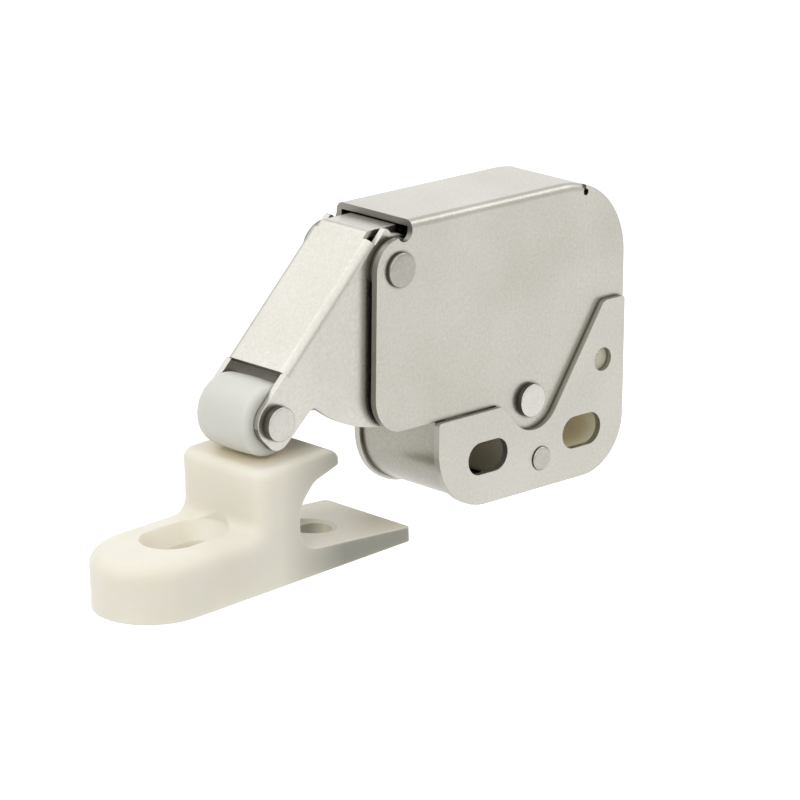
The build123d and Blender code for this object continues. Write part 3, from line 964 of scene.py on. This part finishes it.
@dataclass
class Studio:
    """Pale floor, even surroundings, soft lamps and the camera."""

    floor_size: float = 3.0
    floor_cells: int = 8
    floor_lean: float = 2.8
    floor_room: float = 1.0 * MM
    floor_colour: Colour = (0.8, 0.8, 0.8)
    floor_glow: float = 0.58
    white: Colour = (1.0, 1.0, 1.0)
    ambient: float = 0.5
    aim_from_strike: tuple[float, float, float] = (0.03, 0.0, 0.01)
    azimuth: float = -44.44
    elevation: float = 16.47
    roll: float = 0.58
    lens: float = 214.7
    sensor: float = 36.0
    near_clip: float = 0.01
    eye: tuple[float, float, float] = (-0.38379, -0.36877, 0.16239)
    lamps: tuple[Lamp, ...] = (
        Lamp("overhead softbox", (-0.05, 0.1, 0.7), (0.9, 0.9), 2.1),
        Lamp("left softbox", (-0.75, -0.1, 0.45), (0.6, 0.6), 2.0),
        Lamp("front softbox", (-0.25, -0.62, 0.6), (0.7, 0.7), 0.9),
        Lamp("back softbox", (-0.22, 0.55, 0.54), (0.5, 0.35), 0.38),
        Lamp("right softbox", (0.6, -0.25, 0.6), (0.4, 0.35), 0.6),
        Lamp("rear softbox", (0.6, 0.62, 0.28), (0.5, 0.3), 0.22),
    )

    @staticmethod
    def _white_ray(sheet: NodeSheet) -> Socket:
        """Mask of the rays that see the surroundings themselves.

        Args:
            sheet: the sheet of the world or of the floor.

        Returns:
            1 for such a ray and 0 for one that only lights the part.
        """
        path = sheet.add("ShaderNodeLightPath")
        seen = sheet.maths("ADD", path.outputs["Is Camera Ray"], path.outputs["Is Glossy Ray"],
                           clamp=True)
        return sheet.maths("ADD", seen, path.outputs["Is Transmission Ray"], clamp=True)

    def build_world(self) -> None:
        """White surroundings for what sees them, a lower level for what they light."""
        world = bpy.data.worlds.new("white room")
        bpy.context.scene.world = world
        world.use_nodes = True
        sheet = NodeSheet(world.node_tree)
        back = sheet.add("ShaderNodeBackground")
        sheet.feed(back.inputs["Color"], self.white)
        sheet.join(sheet.span(self._white_ray(sheet), give=(self.ambient, 1.0)),
                   back.inputs["Strength"])
        out = sheet.add("ShaderNodeOutputWorld")
        sheet.join(back.outputs[0], out.inputs["Surface"])

    def build_floor(self, touch: Vector) -> None:
        """Adds the floor, just clear of the strike at the end of its travel.

        It is seen through from below, so that the part's underside shows.

        Args:
            touch: a point that the floor passes through.
        """
        select_nothing()
        bpy.ops.mesh.primitive_grid_add(x_subdivisions=self.floor_cells,
                                        y_subdivisions=self.floor_cells, size=self.floor_size)
        floor = bpy.context.object
        floor.name = "studio_floor"
        lean = Matrix.Rotation(math.radians(-self.floor_lean), 4, "Y")
        floor.data.transform(Matrix.Translation(touch) @ lean)
        material = bpy.data.materials.new("pale floor")
        material.use_nodes = True
        sheet = NodeSheet(material.node_tree)
        matt = sheet.add("ShaderNodeBsdfDiffuse")
        sheet.feed(matt.inputs["Color"], self.floor_colour)
        glow = sheet.add("ShaderNodeEmission")
        sheet.feed(glow.inputs["Color"], self.white)
        sheet.join(sheet.maths("MULTIPLY", self._white_ray(sheet), self.floor_glow),
                   glow.inputs["Strength"])
        both = sheet.add("ShaderNodeAddShader")
        sheet.join(matt.outputs[0], both.inputs[0])
        sheet.join(glow.outputs[0], both.inputs[1])
        seen_through = sheet.add("ShaderNodeMixShader")
        below = sheet.add("ShaderNodeNewGeometry").outputs["Backfacing"]
        clear = sheet.add("ShaderNodeBsdfTransparent").outputs[0]
        for place, source in enumerate((below, both.outputs[0], clear)):
            sheet.join(source, seen_through.inputs[place])
        out = sheet.add("ShaderNodeOutputMaterial")
        sheet.join(seen_through.outputs[0], out.inputs["Surface"])
        dress(floor, material)

    def build_camera(self) -> None:
        """Sets the camera at its viewing angle."""
        turn, lift, roll = (math.radians(v) for v in (self.azimuth, self.elevation, self.roll))
        back = Vector((math.sin(turn) * math.cos(lift), -math.cos(turn) * math.cos(lift),
                       math.sin(lift)))
        right = Vector((math.cos(turn), math.sin(turn), 0.0))
        up = back.cross(right)
        side = right * math.cos(roll) + up * math.sin(roll)
        top = up * math.cos(roll) - right * math.sin(roll)
        data = bpy.data.cameras.new("camera")
        data.lens = self.lens
        data.sensor_width = self.sensor
        data.clip_start = self.near_clip
        camera = bpy.data.objects.new("camera", data)
        bpy.context.scene.collection.objects.link(camera)
        axes = Matrix((side, top, back)).transposed().to_4x4()
        camera.matrix_world = Matrix.Translation(Vector(self.eye)) @ axes
        bpy.context.scene.camera = camera

    def build(self, touch: Vector, aim: Vector) -> None:
        """Builds the whole studio.

        Args:
            touch: a point of the floor.
            aim: the point the lamps face.
        """
        bpy.context.scene.view_settings.view_transform = "Standard"
        self.build_world()
        self.build_floor(touch)
        for lamp in self.lamps:
            lamp.hang(aim)
        self.build_camera()


def main() -> None:
    """Builds the dressed catch and its studio."""
    logging.basicConfig(level=logging.INFO, format="%(name)s: %(message)s")
    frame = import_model()
    effects = Effects()
    for assembly in (Bracket, Housing, SwingArm, Strike):
        assembly(frame, effects).build()
    low, high = (Vector(corner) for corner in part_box("strike"))
    travel = Assembly(frame, effects).joint("strike_travel")["range_m"][1]
    studio = Studio()
    studio.build(Vector((low.x, (low.y + high.y) / 2, low.z - travel - studio.floor_room)),
                 (low + high) / 2 + Vector(studio.aim_from_strike))


if __name__ == "__main__":
    main()
